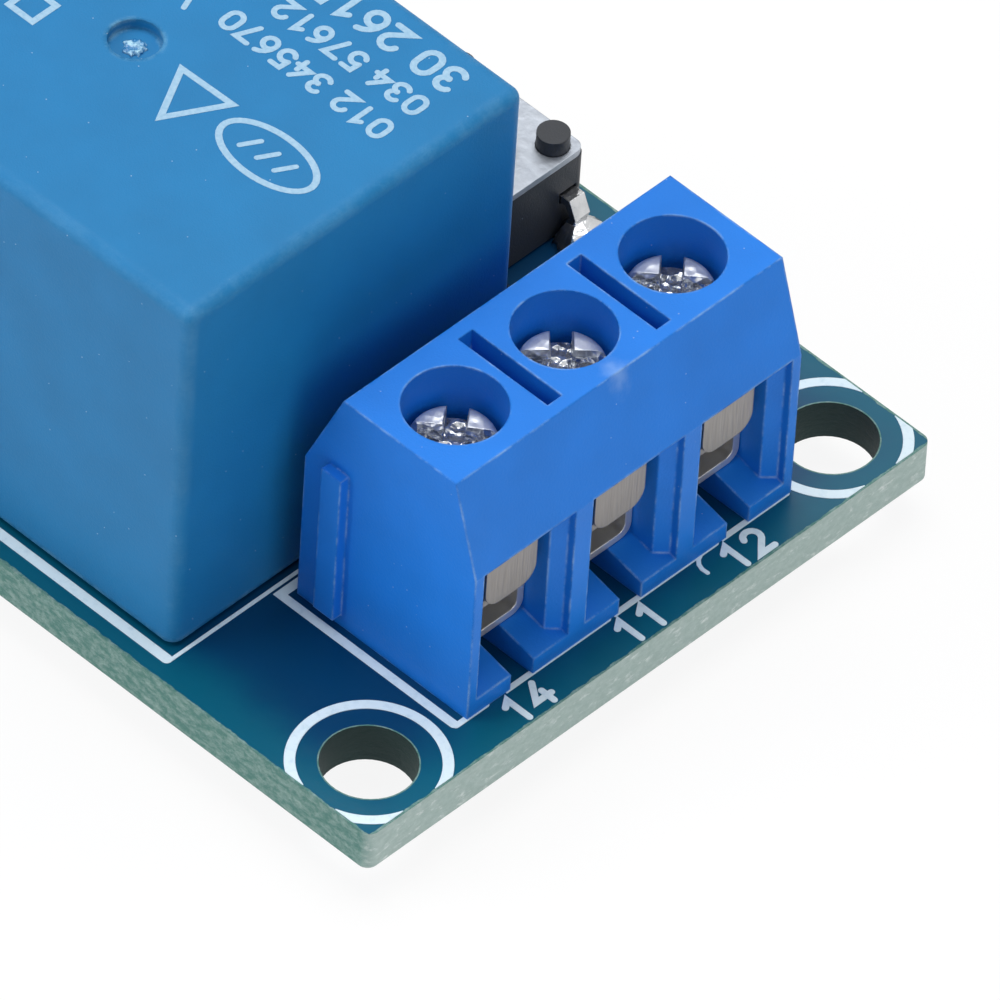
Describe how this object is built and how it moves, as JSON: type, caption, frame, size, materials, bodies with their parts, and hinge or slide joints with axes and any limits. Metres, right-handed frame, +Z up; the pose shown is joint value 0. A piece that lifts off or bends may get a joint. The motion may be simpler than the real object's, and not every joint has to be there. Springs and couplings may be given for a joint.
{
  "type": "relay module board",
  "caption": "Circuit board with a sealed blue relay, a blue screw terminal block, a push switch and a pin header, drilled for screws at its corners.",
  "frame": {"origin": "centre of the four mounting holes, on the underside of the board", "axes": "+X towards the screw terminal end, +Y towards the push switch side, +Z up out of the component side"},
  "size_m": [0.05, 0.0264, 0.0186],
  "materials": {
    "fr4_laminate": "green-blue solder mask over woven glass epoxy",
    "solder": "reflowed tin solder, bright",
    "terminal_polyamide": "moulded polyamide, satin",
    "tinned_contact": "tin-plated pressed steel",
    "guard_steel": "plain rolled steel, satin",
    "zinc_screw": "bright zinc plating",
    "relay_cover_plastic": "moulded polyester, fine satin",
    "relay_base_plastic": "moulded polyester with sealing resin",
    "bobbin_plastic": "moulded nylon",
    "copper_winding": "enamelled copper wire",
    "relay_iron": "nickel-plated soft iron",
    "contact_bronze": "phosphor bronze with silver contacts",
    "switch_black_plastic": "moulded black thermoplastic",
    "switch_plate": "tin-plated pressed steel",
    "header_plastic": "moulded black thermoplastic",
    "gold_pin": "gold-flashed brass",
    "package_epoxy": "moulded black epoxy with tinned leads",
    "chip_ceramic": "ceramic chip with tinned end caps",
    "capacitor_ceramic": "ceramic chip with tinned end caps",
    "red_led": "cast epoxy lens",
    "green_led": "cast epoxy lens"
  },
  "bodies": {
    "module": {"circuit_board": "fr4_laminate", "solder_joints": "solder", "terminal_housing": "terminal_polyamide", "relay_base": "relay_base_plastic", "relay_cover": "relay_cover_plastic", "relay_bobbin": "bobbin_plastic", "relay_winding": "copper_winding", "relay_core": "relay_iron", "relay_yoke": "relay_iron", "relay_open_contact": "contact_bronze", "relay_closed_contact": "contact_bronze", "relay_common_pin": "tinned_contact", "relay_coil_pins": "tinned_contact", "switch_body": "switch_black_plastic", "switch_cover": "switch_plate", "switch_dome": "switch_plate", "switch_legs": "tinned_contact", "header_block": "header_plastic", "header_pins": "gold_pin", "controller_chip": "package_epoxy", "driver_transistor": "package_epoxy", "flyback_diode": "package_epoxy", "chip_resistors": "chip_ceramic", "chip_capacitor": "capacitor_ceramic", "power_led": "red_led", "relay_led": "green_led", "contact_1": "tinned_contact", "contact_2": "tinned_contact", "contact_3": "tinned_contact"},
    "button": {"switch_button": "switch_black_plastic"},
    "armature": {"relay_armature": "relay_iron", "relay_blade": "contact_bronze"},
    "guard_1": {"wire_guard_1": "guard_steel"},
    "screw_1": {"clamp_screw_1": "zinc_screw"},
    "guard_2": {"wire_guard_2": "guard_steel"},
    "screw_2": {"clamp_screw_2": "zinc_screw"},
    "guard_3": {"wire_guard_3": "guard_steel"},
    "screw_3": {"clamp_screw_3": "zinc_screw"}
  },
  "joints": [
    {"name": "button_press", "type": "slide", "parent": "module", "child": "button", "axis": [0, 0, -1], "range_m": [0, 0.00025], "stiffness_N_per_m": 6400},
    {"name": "armature_swing", "type": "hinge", "parent": "module", "child": "armature", "pos_m": [-0.00315, -0.00425, 0.01415], "axis": [0, 1, 0], "range_deg": [0, 2.5], "stiffness_Nm_per_rad": 0.02, "springref_deg": -2.86},
    {"name": "guard_lift_1", "type": "slide", "parent": "module", "child": "guard_1", "axis": [0, 0, 1], "range_m": [-0.00135, 0.0009]},
    {"name": "screw_turn_1", "type": "hinge", "parent": "guard_1", "child": "screw_1", "pos_m": [0.01975, -0.00461, 0.007], "axis": [0, 0, 1], "range_deg": [-1080, 720]},
    {"name": "guard_lift_2", "type": "slide", "parent": "module", "child": "guard_2", "axis": [0, 0, 1], "range_m": [-0.00135, 0.0009]},
    {"name": "screw_turn_2", "type": "hinge", "parent": "guard_2", "child": "screw_2", "pos_m": [0.01975, 0.00047, 0.007], "axis": [0, 0, 1], "range_deg": [-1080, 720]},
    {"name": "guard_lift_3", "type": "slide", "parent": "module", "child": "guard_3", "axis": [0, 0, 1], "range_m": [-0.00135, 0.0009]},
    {"name": "screw_turn_3", "type": "hinge", "parent": "guard_3", "child": "screw_3", "pos_m": [0.01975, 0.00555, 0.007], "axis": [0, 0, 1], "range_deg": [-1080, 720]}
  ],
  "couplings": [
    {"joint": "screw_turn_1", "follows": "guard_lift_1", "rad_per_m": 13963},
    {"joint": "screw_turn_2", "follows": "guard_lift_2", "rad_per_m": 13963},
    {"joint": "screw_turn_3", "follows": "guard_lift_3", "rad_per_m": 13963}
  ]
}
